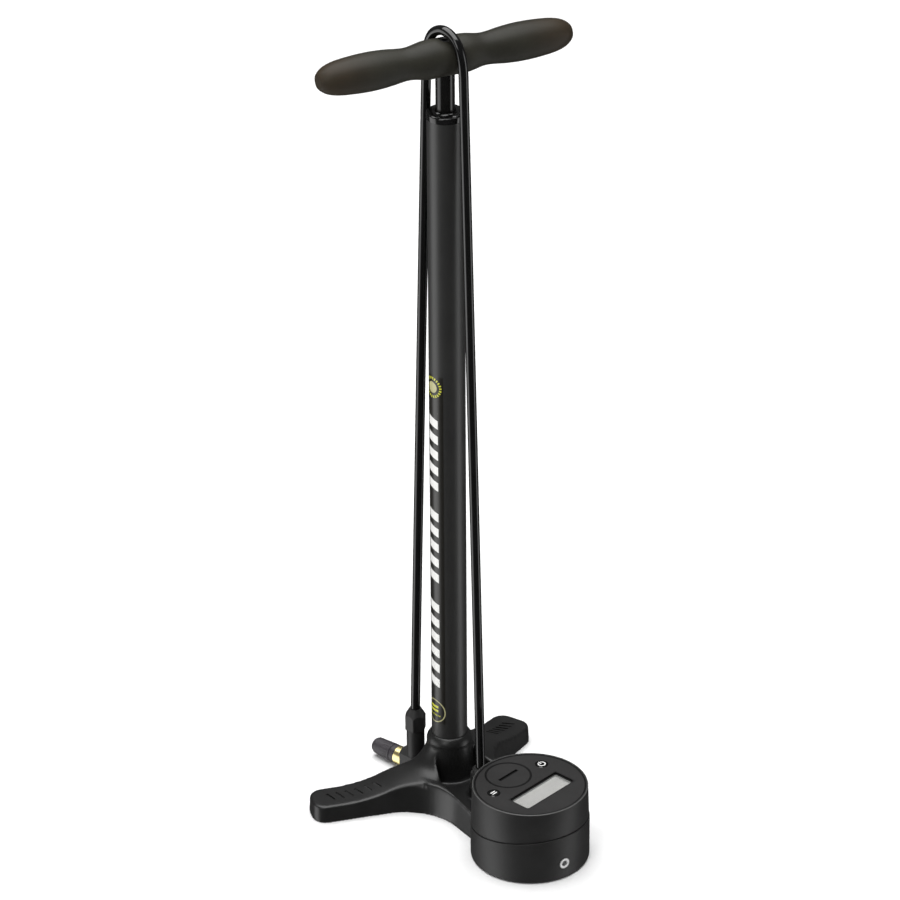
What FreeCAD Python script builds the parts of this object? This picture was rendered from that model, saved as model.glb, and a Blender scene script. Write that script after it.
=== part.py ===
import FreeCAD, Part
import math
import os
from FreeCAD import Placement, Rotation, Vector

os.makedirs("parts", exist_ok=True)

# A floor pump. Millimetres, +Z up. The origin is where the barrel's axis meets the floor.
# The gauge stands on -Y, the two legs point to -X and +X, and the hose head is parked on +Y.

# Barrel, cap and rod
barrel_outer_radius = 15.0
barrel_wall = 2.0
barrel_foot_z = 16.0
barrel_top_z = 634.2
cap_spigot_length = 44.0
cap_flange_height = 5.5
cap_flange_overhang = 0.4
wiper_room = 2.2
cap_boss_wall = 1.05
cap_boss_height = 5.0
rod_radius = 7.75
rod_wall = 1.5
bush_wall = 1.6
bush_length = 30.0

# Handle
handle_rise = 47.2
handle_turn = -9.2
handle_half_length = 109.1
handle_middle_radius = 15.5
handle_neck_radius = 13.2
handle_grip_radius = 15.6
handle_shoulder_radius = 13.2
handle_tip_radius = 6.2
handle_screw_radius = 2.5
handle_screw_head_radius = 4.75

# Piston and foot valve
piston_height = 15.0
piston_rest_gap = 0.5
seal_ring_height = 3.6
guide_ring_height = 4.0
ring_depth = 2.2
bump_stop_height = 5.0
foot_valve_height = 14.0
foot_valve_port_radius = 2.6
ball_radius = 3.6
spring_wire_radius = 0.35
spring_turns = 4
spring_radius = 2.2
spring_post_radius = 0.5

# Base casting
pad_height = 3.0
pad_radius = 12.0
casting_wall = 4.0
leg_height = 15.0
left_leg_turn = 161.2
left_leg_reach = 123.6
left_leg_offset = 8.65
left_leg_width = 32.3
right_leg_turn = 23.5
right_leg_reach = 105.2
right_leg_offset = 0.95
right_leg_width = 36.7
leg_corner_radius = 12.0
front_web_radius = 52.0
back_web_radius = 40.0
draft_inset = 2.5
arm_half_width = 30.0
arm_height_at_hub = 29.5
arm_drop = 0.5
hub_wall = 3.05
collar_lip = 1.2
hub_flare = 2.4
hub_flare_z = 24.0
channel_half_width = 26.0
channel_floor_z = 17.5
channel_corner_radius = 5.0
pocket_length = 15.0
pocket_width = 4.4
pocket_x = -44.5
pocket_y = -17.0
pocket_turn = -34.0
pocket_floor_z = 24.8
collar_z = 51.0
collar_top_z = 58.0

# Gauge
gauge_y = -118.44
pod_radius = 49.4
head_taper = 1.4
head_top_z = 66.3
rim_width = 1.9
parting_z = 32.6
parting_slope = 0.156
pod_wall = 4.5
head_wall = 3.2
gasket_thickness = 0.8
face_turn = 13.4
face_thickness = 3.4
face_sink = 0.5
window_length = 54.0
window_width = 17.5
window_bevel = 1.6
window_sink = 1.4
window_v = -13.0
cover_u = -1.5
cover_v = 22.9
cover_radius = 18.6
cover_slot_length = 22.0
cover_slot_width = 2.0
button_radius = 5.25
button_u = 29.7
button_v = 13.6
button_stand = 0.3
button_travel = 0.8
board_z = 50.0
board_thickness = 1.6
board_radius = 38.0
cell_radius = 12.25
cell_height = 5.0
pod_screw_z = 15.0
pod_screw_head_radius = 4.8
pod_screw_head_height = 3.0
gauge_screw_radius = 1.75

# Hose and its fitting
hose_radius = 4.0
hose_gap = 0.3
hose_y = -46.0
hose_crossing = 6.4
hose_rise = 2.4
fitting_seat_z = 28.0
nut_height = 17.0
nut_radius = 7.6
barb_z = 36.0

# Head, parked behind the barrel
head_turn = 104.5
stem_reach = 8.5
head_axis_z = 9.0
stem_radius = 7.65
stem_top_z = 43.5
boot_top_z = 64.0
boot_radius = 8.0
boot_mouth_radius = 5.0
boot_depth = 12.0
block_gap = 11.8
block_length = 20.2
block_half_width = 8.0
block_foot_z = 1.2
block_top_z = 21.2
block_bevel = 3.4
brass_radius = 8.1
brass_length = 8.0
nipple_radius = 5.3
lock_collar_radius = 7.9
lock_collar_tip_radius = 7.1
lock_collar_length = 26.0
lock_collar_grip_length = 5.0
knurl_count = 24
knurl_depth = 0.5
valve_bore_radius = 4.0
dock_post_radius = 3.8
dock_post_length = 6.0
dock_flange_radius = 7.0
dock_inset = 1.5

# Clearances
running_gap = 0.08
slip_gap = 0.15
part_gap = 0.3

barrel_bore = barrel_outer_radius - barrel_wall
barrel_socket_radius = barrel_outer_radius + slip_gap
hub_radius = barrel_socket_radius + hub_wall
collar_radius = hub_radius + collar_lip
cap_boss_radius = rod_radius + wiper_room + cap_boss_wall
handle_axis_z = barrel_top_z + handle_rise
head_top_radius = pod_radius - head_taper
arm_height_at_pod = parting_z - parting_slope * pod_radius - arm_drop
block_start = hub_radius + block_gap
block_end = block_start + block_length
head_reach = block_start + stem_reach
foot_seal_z = barrel_foot_z - 2.0
foot_valve_top_z = barrel_foot_z + foot_valve_height
piston_foot_z = foot_valve_top_z + piston_rest_gap
piston_top_z = piston_foot_z + piston_height
air_way_z = 11.0
air_way_radius = 2.5
head_direction = Vector(math.cos(math.radians(head_turn)), math.sin(math.radians(head_turn)), 0)
handle_direction = Vector(math.cos(math.radians(handle_turn)), math.sin(math.radians(handle_turn)), 0)
handle_front = Vector(handle_direction.y, -handle_direction.x, 0)


def cylinder(radius, low, high, x=0.0, y=0.0):
    return Part.makeCylinder(radius, high - low, Vector(x, y, low))


def ring(outer, inner, low, high, x=0.0, y=0.0):
    return cylinder(outer, low, high, x, y).cut(cylinder(inner, low - 1, high + 1, x, y))


def turned(points):
    """A closed outline of (radius, height) points, turned about Z."""
    corners = [Vector(radius, 0, height) for radius, height in points]
    face = Part.Face(Part.makePolygon(corners + corners[:1]))
    return face.revolve(Vector(0, 0, 0), Vector(0, 0, 1), 360)


def lay_along(shape, start, direction):
    """Move a shape built up the Z axis so that it runs from start along direction."""
    placed = shape.copy()
    placed.Placement = Placement(start, Rotation(Vector(0, 0, 1), direction)).multiply(shape.Placement)
    return placed


def on_face(shape):
    """Move a shape from the gauge face's own axes, centred on the dial, to the pump's."""
    placed = shape.copy()
    turn = Placement(Vector(0, gauge_y, 0), Rotation(Vector(0, 0, 1), face_turn))
    placed.Placement = turn.multiply(shape.Placement)
    return placed


def rounded_bar(length, width, radius, low, high, u=0.0, v=0.0):
    """An upright block with round corners, centred on u, v."""
    block = Part.makeBox(length, width, high - low, Vector(u - length / 2, v - width / 2, low))
    upright = [edge for edge in block.Edges if abs(edge.BoundBox.ZLength - (high - low)) < 1e-6]
    return block.makeFillet(radius, upright)


def rounded_outline(corners):
    """A closed wire in the floor plane through (point, radius) corners, each rounded by an arc."""
    count = len(corners)
    starts = []
    ends = []
    middles = []
    for index, (point, radius) in enumerate(corners):
        before = (corners[index - 1][0] - point).normalize()
        after = (corners[(index + 1) % count][0] - point).normalize()
        half = before.getAngle(after) / 2
        reach = radius / math.tan(half)
        inward = (before + after).normalize()
        starts.append(point + before * reach)
        ends.append(point + after * reach)
        middles.append(point + inward * (radius / math.sin(half) - radius))
    edges = []
    for index in range(count):
        edges.append(Part.Arc(starts[index], middles[index], ends[index]).toShape())
        edges.append(Part.makeLine(ends[index], starts[(index + 1) % count]))
    return Part.Wire(edges)


def leg_axes(turn):
    along = Vector(math.cos(math.radians(turn)), math.sin(math.radians(turn)), 0)
    return along, Vector(-along.y, along.x, 0)


def crossing(point_a, along_a, point_b, along_b):
    """Where two lines in the floor plane meet."""
    gap = point_b - point_a
    turn = along_a.x * along_b.y - along_a.y * along_b.x
    return point_a + along_a * ((gap.x * along_b.y - gap.y * along_b.x) / turn)


def leg_end(turn, offset, reach, width):
    """The middle of a leg's end pad."""
    along, side = leg_axes(turn)
    return along * (reach - width / 2) + side * offset


def base_corners():
    """The base's outline, without the gauge pod, counter-clockwise from the arm's right foot."""
    left, left_side = leg_axes(left_leg_turn)
    right, right_side = leg_axes(right_leg_turn)
    left_half = left_leg_width / 2
    right_half = right_leg_width / 2
    left_front = left_side * (left_leg_offset + left_half)
    left_back = left_side * (left_leg_offset - left_half)
    right_front = right_side * (-right_leg_offset - right_half)
    right_back = right_side * (-right_leg_offset + right_half)
    down = Vector(0, -1, 0)
    arm_right = Vector(arm_half_width, 0, 0)
    arm_left = Vector(-arm_half_width, 0, 0)
    arm_foot = Vector(0, gauge_y + pod_radius * 0.2, 0)
    return [
        (arm_right + arm_foot, 4.0),
        (crossing(arm_right, down, right_front, right), front_web_radius),
        (right_front + right * right_leg_reach, leg_corner_radius),
        (right_back + right * right_leg_reach, leg_corner_radius),
        (crossing(left_back, left, right_back, right), back_web_radius),
        (left_back + left * left_leg_reach, leg_corner_radius),
        (left_front + left * left_leg_reach, leg_corner_radius),
        (crossing(left_front, left, arm_left, down), front_web_radius),
        (arm_left + arm_foot, 4.0),
    ]


def leg_top(drop):
    """The solid under the legs' upper surface, turned about the barrel, lowered by drop."""
    hub_side = Vector(hub_radius, 0, collar_z - 2.6 - drop)
    far = Vector(left_leg_reach + 20, 0, leg_height - drop)
    slope = Part.BSplineCurve()
    middle = [(24.0, 38.5), (31.0, 32.0), (43.0, 28.0), (53.0, 25.0), (66.0, 20.2), (82.0, 16.4)]
    points = [hub_side] + [Vector(radius, 0, height - drop) for radius, height in middle]
    flat_start = Vector(100, 0, leg_height - drop)
    slope.interpolate(points + [flat_start])
    edges = [
        slope.toShape(),
        Part.makeLine(flat_start, far),
        Part.makeLine(far, Vector(far.x, 0, 0)),
        Part.makeLine(Vector(far.x, 0, 0), Vector(0, 0, 0)),
        Part.makeLine(Vector(0, 0, 0), Vector(0, 0, hub_side.z)),
        Part.makeLine(Vector(0, 0, hub_side.z), hub_side),
    ]
    return Part.Face(Part.Wire(edges)).revolve(Vector(0, 0, 0), Vector(0, 0, 1), 360)


def arm_top(drop, half_width):
    """The wedge of the arm between the barrel and the gauge."""
    corners = [
        Vector(-half_width, -12, 0),
        Vector(-half_width, gauge_y, 0),
        Vector(-half_width, gauge_y, arm_height_at_pod - 8 - drop),
        Vector(-half_width, gauge_y + pod_radius - 1, arm_height_at_pod - drop),
        Vector(-half_width, -30, arm_height_at_hub - drop),
        Vector(-half_width, -12, arm_height_at_hub - drop),
    ]
    return Part.Face(Part.makePolygon(corners + corners[:1])).extrude(Vector(2 * half_width, 0, 0))


def arm_channel():
    """The trough in the arm's top, between its two ribs and round the front of the hub."""
    side = channel_half_width
    front = gauge_y + pod_radius * 0.5
    corners = [
        (Vector(side, front, 0), 2.0),
        (Vector(side, -hub_radius - 8, 0), channel_corner_radius),
        (Vector(hub_radius + 1.5, -8, 0), 1.5),
        (Vector(-hub_radius - 1.5, -8, 0), 1.5),
        (Vector(-side, -hub_radius - 8, 0), channel_corner_radius),
        (Vector(-side, front, 0), 2.0),
    ]
    floor = Part.Face(rounded_outline(corners))
    floor.translate(Vector(0, 0, channel_floor_z))
    return floor.extrude(Vector(0, 0, collar_z))


def below_parting(lift, reach=70.0):
    """Everything under the sloping joint between the gauge's pod and its head."""
    low = parting_z + lift + parting_slope * -reach
    high = parting_z + lift + parting_slope * reach
    corners = [
        Vector(-reach, gauge_y - reach, -5),
        Vector(-reach, gauge_y + reach, -5),
        Vector(-reach, gauge_y + reach, low),
        Vector(-reach, gauge_y - reach, high),
    ]
    return Part.Face(Part.makePolygon(corners + corners[:1])).extrude(Vector(2 * reach, 0, 0))


def pad_places():
    left = leg_end(left_leg_turn, left_leg_offset, left_leg_reach, left_leg_width)
    right = leg_end(right_leg_turn, -right_leg_offset, right_leg_reach, right_leg_width)
    return [left, right, Vector(0, gauge_y - pod_radius / 2, 0)]


def gauge_screw_places():
    reach = pod_radius - pod_wall - 3.0
    turns = [math.radians(angle) for angle in (30, 150, 250)]
    return [Vector(reach * math.cos(turn), gauge_y + reach * math.sin(turn), 0) for turn in turns]


def base_casting():
    outline = rounded_outline(base_corners())
    upper = Part.Face(outline).makeOffset2D(-draft_inset)
    upper_wire = upper.OuterWire.copy()
    upper_wire.translate(Vector(0, 0, collar_z))
    walls = Part.makeLoft([outline, upper_wire], True, True)
    top = leg_top(0).fuse(arm_top(0, arm_half_width + 6))
    body = walls.common(top)
    inner = Part.Face(outline).makeOffset2D(-casting_wall - 1)
    hollow = inner.extrude(Vector(0, 0, collar_z)).common(leg_top(casting_wall))
    hollow = hollow.cut(cylinder(hub_radius + 6, -1, collar_z))
    hollow = hollow.cut(Part.makeBox(160, 160, 80, Vector(-80, -172, -5)))
    body = body.cut(hollow)
    body = body.cut(arm_channel())
    pocket = rounded_bar(pocket_length, pocket_width, pocket_width / 2 - 0.1, pocket_floor_z, collar_z)
    pocket.Placement = Placement(Vector(pocket_x, pocket_y, 0), Rotation(Vector(0, 0, 1), pocket_turn))
    body = body.cut(pocket)
    hub = turned([
        (0, 0),
        (hub_radius + hub_flare, 0),
        (hub_radius + hub_flare, hub_flare_z - 4),
        (hub_radius + hub_flare * 0.7, hub_flare_z + 4),
        (collar_radius - 0.3, collar_z - 1.5),
        (collar_radius, collar_z - 1),
        (collar_radius, collar_z + 0.6),
        (collar_radius - 0.8, collar_z + 3.2),
        (collar_radius - 2.2, collar_z + 5.2),
        (barrel_socket_radius, collar_top_z),
        (0, collar_top_z),
    ])
    pod = cylinder(pod_radius, 0, 60, 0, gauge_y).common(below_parting(0))
    fitting_boss = cylinder(nut_radius + 2.4, 0, fitting_seat_z, 0, hose_y)
    body = body.fuse([hub, pod, fitting_boss])
    for place in pad_places()[:2]:
        body = body.fuse(cylinder(pad_radius + 1.5, 0, leg_height - 1.5, place.x, place.y))
    pod_room = cylinder(pod_radius - pod_wall, casting_wall, 60, 0, gauge_y)
    for place in gauge_screw_places():
        pod_room = pod_room.cut(cylinder(4.2, 0, 70, place.x, place.y))
    pod_room = pod_room.cut(cylinder(7.5, 0, 25, 0, gauge_y - pod_radius + 9))
    body = body.cut(pod_room)
    for place in gauge_screw_places():
        body = body.cut(cylinder(gauge_screw_radius + slip_gap, -1, 60, place.x, place.y))
        body = body.cut(cylinder(gauge_screw_radius * 2 + slip_gap, -1, 4, place.x, place.y))
    for place in pad_places():
        body = body.cut(cylinder(pad_radius + slip_gap, -1, pad_height, place.x, place.y))
    body = body.cut(cylinder(barrel_socket_radius, foot_seal_z, 80))
    body = body.cut(cylinder(8.0, 6.0, foot_seal_z + 1))
    air_way = cylinder(air_way_radius, 0, -gauge_y - pod_radius + pod_wall + 2)
    body = body.cut(lay_along(air_way, Vector(0, 0, air_way_z), Vector(0, -1, 0)))
    body = body.cut(cylinder(2.0, air_way_z, 40, 0, hose_y))
    body = body.cut(cylinder(5.0 + slip_gap, 18.0, 40, 0, hose_y))
    body = body.cut(cylinder(nut_radius + 1.2, fitting_seat_z, 60, 0, hose_y))
    screw_seat = Vector(0, gauge_y - pod_radius - 1, pod_screw_z)
    inward = Vector(0, 1, 0)
    head_room = cylinder(pod_screw_head_radius + slip_gap, 0, pod_screw_head_height + 0.6)
    body = body.cut(lay_along(head_room, screw_seat, inward))
    body = body.cut(lay_along(cylinder(2.0 + slip_gap, 0, 12), screw_seat, inward))
    dock_seat = cylinder(dock_flange_radius + slip_gap, hub_radius - dock_inset, hub_radius + 8)
    body = body.cut(lay_along(dock_seat, Vector(0, 0, head_axis_z), head_direction))
    return body.removeSplitter()


def foot_pads():
    return Part.Compound([cylinder(pad_radius, 0, pad_height, p.x, p.y) for p in pad_places()])


def barrel():
    return ring(barrel_outer_radius, barrel_bore, barrel_foot_z, barrel_top_z - cap_flange_height)


def barrel_foot_seal():
    return ring(barrel_outer_radius, barrel_bore - 1.5, foot_seal_z, barrel_foot_z)


def barrel_cap():
    flange_foot = barrel_top_z - cap_flange_height
    flange_radius = barrel_outer_radius + cap_flange_overhang
    bore = rod_radius + bush_wall + slip_gap
    cap = turned([
        (rod_radius + part_gap, flange_foot - cap_spigot_length),
        (barrel_bore - slip_gap, flange_foot - cap_spigot_length),
        (barrel_bore - slip_gap, flange_foot),
        (flange_radius, flange_foot),
        (flange_radius, barrel_top_z - 1.2),
        (flange_radius - 1.2, barrel_top_z),
        (cap_boss_radius, barrel_top_z),
        (cap_boss_radius, barrel_top_z + cap_boss_height - 1),
        (cap_boss_radius - 1, barrel_top_z + cap_boss_height),
        (rod_radius + part_gap, barrel_top_z + cap_boss_height),
    ])
    bush_foot = flange_foot - bush_length
    cap = cap.cut(cylinder(bore, bush_foot, flange_foot))
    return cap.cut(cylinder(rod_radius + wiper_room, barrel_top_z + 0.5, barrel_top_z + 20))


def rod_bush():
    flange_foot = barrel_top_z - cap_flange_height
    return ring(rod_radius + bush_wall, rod_radius + running_gap, flange_foot - bush_length, flange_foot)


def rod_wiper():
    low = barrel_top_z + 0.5
    return turned([
        (rod_radius + running_gap, low),
        (rod_radius + wiper_room - 0.1, low),
        (rod_radius + wiper_room - 0.1, low + 3.8),
        (rod_radius + wiper_room - 0.8, low + 5.2),
        (rod_radius + running_gap, low + 5.2),
    ])


def foot_valve_body():
    """The plug in the barrel's foot: air goes down through its port, past the ball."""
    plug = cylinder(barrel_bore - slip_gap, barrel_foot_z, foot_valve_top_z)
    plug = plug.cut(cylinder(foot_valve_port_radius, barrel_foot_z, foot_valve_top_z))
    room = cylinder(ball_radius + 0.6, barrel_foot_z, foot_valve_seat_z())
    seat = Part.makeCone(ball_radius + 0.6, foot_valve_port_radius, 2.0, Vector(0, 0, foot_valve_seat_z()))
    return plug.cut(room.fuse(seat))


def foot_valve_seat_z():
    return foot_valve_top_z - 4.5


def ball_z():
    """The ball rests in the cone of its seat, a hair below it."""
    slope = math.atan2(2.0, ball_radius + 0.6 - foot_valve_port_radius)
    mouth_z = foot_valve_seat_z()
    return mouth_z + (ball_radius + 0.6) * math.tan(slope) - (ball_radius + 0.02) / math.cos(slope)


def foot_valve_ball():
    return Part.makeSphere(ball_radius, Vector(0, 0, ball_z()))


def foot_valve_spring():
    """The light coil that holds the ball up in its seat, drawn as rings on a post."""
    low = 6.0 + spring_wire_radius
    high = ball_z() - ball_radius + 0.2
    step = (high - low) / spring_turns
    coil = cylinder(spring_post_radius, low, high, spring_radius)
    for turn in range(spring_turns + 1):
        coil = coil.fuse(Part.makeTorus(spring_radius, spring_wire_radius, Vector(0, 0, low + turn * step)))
    return coil.removeSplitter()


def piston_rod():
    low = piston_top_z + 0.2
    high = handle_axis_z + 6.0
    rod = ring(rod_radius, rod_radius - rod_wall, low, high)
    return rod.fuse(ring(rod_radius, handle_screw_radius, low, low + 12)).removeSplitter()


def piston_bolt():
    """A shoulder bolt up through the piston into the foot of the rod."""
    head_z = piston_foot_z + 1.0
    bolt = cylinder(4.6, head_z, head_z + 3.0)
    bolt = bolt.fuse(cylinder(handle_screw_radius, head_z, piston_top_z + 11))
    return bolt.cut(Part.makeBox(1.2, 7.0, 1.2, Vector(-0.6, -3.5, head_z))).removeSplitter()


def piston_head():
    body = cylinder(barrel_bore - part_gap, piston_foot_z, piston_top_z)
    groove = barrel_bore - part_gap - ring_depth
    body = body.cut(ring(20, groove, seal_z(), seal_z() + seal_ring_height))
    body = body.cut(ring(20, groove, guide_z(), guide_z() + guide_ring_height))
    body = body.cut(cylinder(5.0, piston_foot_z, piston_foot_z + 4.3))
    return body.cut(cylinder(handle_screw_radius + slip_gap, piston_foot_z, piston_top_z))


def seal_z():
    return piston_foot_z + 2.0


def guide_z():
    return piston_top_z - guide_ring_height - 1.6


def piston_seal():
    inner = barrel_bore - part_gap - ring_depth
    outer = barrel_bore - running_gap / 2
    low = seal_z() + 0.1
    high = seal_z() + seal_ring_height - 0.1
    lip = 0.8
    bottom = [(inner, low), (outer - lip, low), (outer, low + lip)]
    return turned(bottom + [(outer, high - lip), (outer - lip, high), (inner, high)])


def piston_guide_ring():
    inner = barrel_bore - part_gap - ring_depth
    ring_body = ring(barrel_bore - running_gap, inner, guide_z() + 0.1, guide_z() + guide_ring_height - 0.1)
    return ring_body.cut(Part.makeBox(20, 1.2, 20, Vector(5, -0.6, guide_z() - 1)))


def bump_stop():
    low = piston_top_z
    return ring(barrel_bore - 1.2, rod_radius + slip_gap, low, low + bump_stop_height)


def handle_profile():
    shape_points = [
        (0.0, handle_middle_radius),
        (19.0, handle_middle_radius - 0.2),
        (31.0, handle_neck_radius),
        (46.0, handle_grip_radius - 1.3),
        (66.0, handle_grip_radius),
        (84.0, handle_grip_radius - 0.8),
        (96.0, handle_shoulder_radius),
        (104.0, handle_tip_radius + 4.2),
        (handle_half_length, handle_tip_radius),
    ]
    right = [Vector(s, r, 0) for s, r in shape_points]
    left = [Vector(-s, r, 0) for s, r in reversed(shape_points[1:])]
    curve = Part.BSplineCurve()
    curve.interpolate(left + right)
    tip = Vector(handle_half_length, 0, 0)
    edges = [
        curve.toShape(),
        Part.makeLine(right[-1], tip),
        Part.makeLine(tip, tip * -1),
        Part.makeLine(tip * -1, left[0]),
    ]
    return Part.Face(Part.Wire(edges))


def handle():
    bar = handle_profile().revolve(Vector(0, 0, 0), Vector(1, 0, 0), 360)
    bar.Placement = Placement(Vector(0, 0, handle_axis_z), Rotation(Vector(0, 0, 1), handle_turn))
    bar = bar.cut(cylinder(rod_radius + 0.05, 0, handle_axis_z + 6.2))
    bar = bar.cut(cylinder(handle_screw_radius + slip_gap, handle_axis_z, handle_axis_z + 30))
    screw_seat_z = handle_axis_z + handle_middle_radius - 4.5
    return bar.cut(cylinder(handle_screw_head_radius + part_gap, screw_seat_z, handle_axis_z + 30))


def rod_insert():
    """The threaded plug in the rod's upper end, which the handle screw bites."""
    high = handle_axis_z + 5.8
    return ring(rod_radius - rod_wall, handle_screw_radius, high - 26, high)


def handle_screw():
    seat_z = handle_axis_z + handle_middle_radius - 4.5
    shank = cylinder(handle_screw_radius, handle_axis_z - 18, seat_z)
    head = cylinder(handle_screw_head_radius, seat_z, seat_z + 3.4)
    socket = hexagon(2.3, seat_z + 1.2, seat_z + 5)
    return shank.fuse(head).cut(socket).removeSplitter()


def hexagon(flat_radius, low, high, x=0.0, y=0.0, turn=0.0):
    """An upright hexagonal bar, measured to its flats."""
    reach = flat_radius / math.cos(math.radians(30))
    angles = [math.radians(60 * step + turn) for step in range(6)]
    corners = [Vector(x + reach * math.cos(a), y + reach * math.sin(a), low) for a in angles]
    return Part.Face(Part.makePolygon(corners + corners[:1])).extrude(Vector(0, 0, high - low))


def hose_route():
    """Straight from the fitting up to the handle, over it, and straight down to the head."""
    bend = handle_middle_radius + hose_radius + hose_gap
    corner_rise = bend * math.tan(math.radians(30))
    top = Vector(0, 0, handle_axis_z + bend / math.cos(math.radians(30)) + hose_rise)
    shoulder = Vector(0, 0, handle_axis_z + corner_rise)
    stem = head_direction * head_reach
    return [
        Vector(0, hose_y, barb_z),
        Vector(0, hose_y, fitting_seat_z + nut_height + 14),
        shoulder + handle_front * bend + handle_direction * hose_crossing,
        top,
        shoulder - handle_front * bend - handle_direction * hose_crossing,
        stem + Vector(0, 0, boot_top_z + 12),
        stem + Vector(0, 0, boot_top_z - boot_depth),
    ]


def hose():
    route = hose_route()
    edges = []
    reached = route[0]
    length = 0.0
    for before, point, after in zip(route, route[1:], route[2:]):
        back = before - point
        ahead = after - point
        half_turn = (math.pi - back.getAngle(ahead)) / 2
        trim = 0.45 * min(back.Length, ahead.Length)
        radius = trim / math.tan(half_turn)
        back.normalize()
        ahead.normalize()
        middle = point + (back + ahead).normalize() * (radius / math.cos(half_turn) - radius)
        start = point + back * trim
        end = point + ahead * trim
        edges.append(Part.LineSegment(reached, start).toShape())
        edges.append(Part.Arc(start, middle, end).toShape())
        length += (start - reached).Length + 2 * radius * half_turn
        reached = end
        print(f"hose arc radius {radius:.1f} mm, turn {math.degrees(2 * half_turn):.1f} degrees")
    edges.append(Part.LineSegment(reached, route[-1]).toShape())
    length += (route[-1] - reached).Length
    section = Part.Wire(Part.makeCircle(hose_radius, route[0], Vector(0, 0, 1)))
    tube = Part.Wire(edges).makePipeShell([section], True, False)
    share = tube.Volume / (math.pi * hose_radius ** 2 * length)
    print(f"hose length {length:.1f} mm, volume over section times length {share:.4f}")
    return tube


def hose_fitting():
    """The brass stub screwed into the arm, with the barb that the hose is pushed on to."""
    stub = cylinder(5.0, 18.0, fitting_seat_z, 0, hose_y)
    stub = stub.fuse(hexagon(6.6, fitting_seat_z, fitting_seat_z + 3.5, 0, hose_y, 10))
    stub = stub.fuse(cylinder(3.9, fitting_seat_z + 3, barb_z, 0, hose_y))
    return stub.cut(cylinder(1.6, 10, 60, 0, hose_y)).removeSplitter()


def hose_nut():
    low = fitting_seat_z + 3.5
    high = fitting_seat_z + nut_height
    nut = hexagon(nut_radius, low, low + 8, 0, hose_y, 10)
    nut = nut.common(Part.makeCone(nut_radius + 4, nut_radius + 0.2, 9, Vector(0, hose_y, low)))
    nut = nut.fuse(cylinder(nut_radius - 0.9, low + 7.5, high - 1.5, 0, hose_y))
    nut = nut.fuse(Part.makeCone(nut_radius - 0.9, nut_radius - 2.2, 1.5, Vector(0, hose_y, high - 1.5)))
    return nut.cut(cylinder(hose_radius + slip_gap, 10, 80, 0, hose_y)).removeSplitter()


def on_head(radius, start, end):
    return lay_along(cylinder(radius, start, end), Vector(0, 0, head_axis_z), head_direction)


def head_boot():
    """The faceted grip over the hose's end, on top of the head."""
    stem = head_direction * head_reach
    low = stem_top_z + 0.6
    body = hexagon(boot_radius, low, boot_top_z, stem.x, stem.y, head_turn)
    limit = Part.makeCone(boot_radius + 1.0, boot_mouth_radius, 7.0, Vector(stem.x, stem.y, boot_top_z - 7))
    limit = limit.fuse(cylinder(boot_radius + 1.0, low, boot_top_z - 7, stem.x, stem.y))
    body = body.common(limit)
    return body.cut(cylinder(hose_radius, boot_top_z - boot_depth, 80, stem.x, stem.y)).removeSplitter()


def head_body():
    """The stem under the hose, and the square block that the brass ring is screwed into."""
    stem = head_direction * head_reach
    body = cylinder(stem_radius, block_top_z - 3, stem_top_z, stem.x, stem.y)
    body = body.fuse(cylinder(stem_radius - 2.0, stem_top_z - 1, stem_top_z + 0.6, stem.x, stem.y))
    half = block_half_width
    side = half - block_bevel
    corners = [
        Vector(block_start, -half, block_foot_z),
        Vector(block_start, half, block_foot_z),
        Vector(block_start, half, block_top_z - block_bevel),
        Vector(block_start, side, block_top_z),
        Vector(block_start, -side, block_top_z),
        Vector(block_start, -half, block_top_z - block_bevel),
    ]
    section = Part.Face(Part.makePolygon(corners + corners[:1]))
    block = section.extrude(Vector(block_end - block_start, 0, 0))
    block.rotate(Vector(0, 0, 0), Vector(0, 0, 1), head_turn)
    body = body.fuse(block)
    body = body.cut(cylinder(2.0, head_axis_z, 90, stem.x, stem.y))
    body = body.cut(on_head(2.0, block_start + dock_post_length + 2, block_end + 1))
    dock_bore_end = block_start + dock_post_length + 0.5
    body = body.cut(on_head(dock_post_radius + slip_gap, block_start - 1, dock_bore_end))
    return body.removeSplitter()


def head_brass_ring():
    end = block_end + brass_length
    body = on_head(brass_radius, block_end, end).fuse(on_head(nipple_radius, block_end, end + 8))
    return body.cut(on_head(2.0, block_end - 1, end + 10)).removeSplitter()


def head_seal():
    start = block_end + brass_length + 8
    seal = on_head(nipple_radius - 0.1, start, start + 6)
    return seal.cut(on_head(valve_bore_radius - 0.6, start - 1, start + 8))


def head_collar():
    """The knurled lock collar, which turns on the brass nipple."""
    start = block_end + brass_length + part_gap
    end = start + lock_collar_length
    waist = start + lock_collar_grip_length
    body = turned([
        (0, start),
        (lock_collar_radius, start),
        (lock_collar_radius, waist - 0.6),
        (lock_collar_radius - 0.6, waist),
        (lock_collar_radius, waist + 0.6),
        (lock_collar_tip_radius, end - 3.0),
        (lock_collar_tip_radius - 1.2, end - 0.8),
        (lock_collar_tip_radius - 2.0, end),
        (0, end),
    ])
    for index in range(knurl_count):
        groove = cylinder(knurl_depth, waist + 2, end - 4, lock_collar_radius)
        groove.rotate(Vector(0, 0, 0), Vector(0, 0, 1), 360.0 / knurl_count * index)
        body = body.cut(groove)
    body = body.cut(cylinder(nipple_radius + running_gap, start - 1, start + 14.5))
    body = body.cut(cylinder(valve_bore_radius, start, end + 1))
    return lay_along(body, Vector(0, 0, head_axis_z), head_direction)


def head_dock():
    """The peg on the hub's back that the head is parked on."""
    seat = hub_radius - dock_inset
    flange = on_head(dock_flange_radius, seat, block_start - part_gap)
    post = on_head(dock_post_radius, seat, block_start + dock_post_length)
    return flange.fuse(post).removeSplitter()


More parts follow.
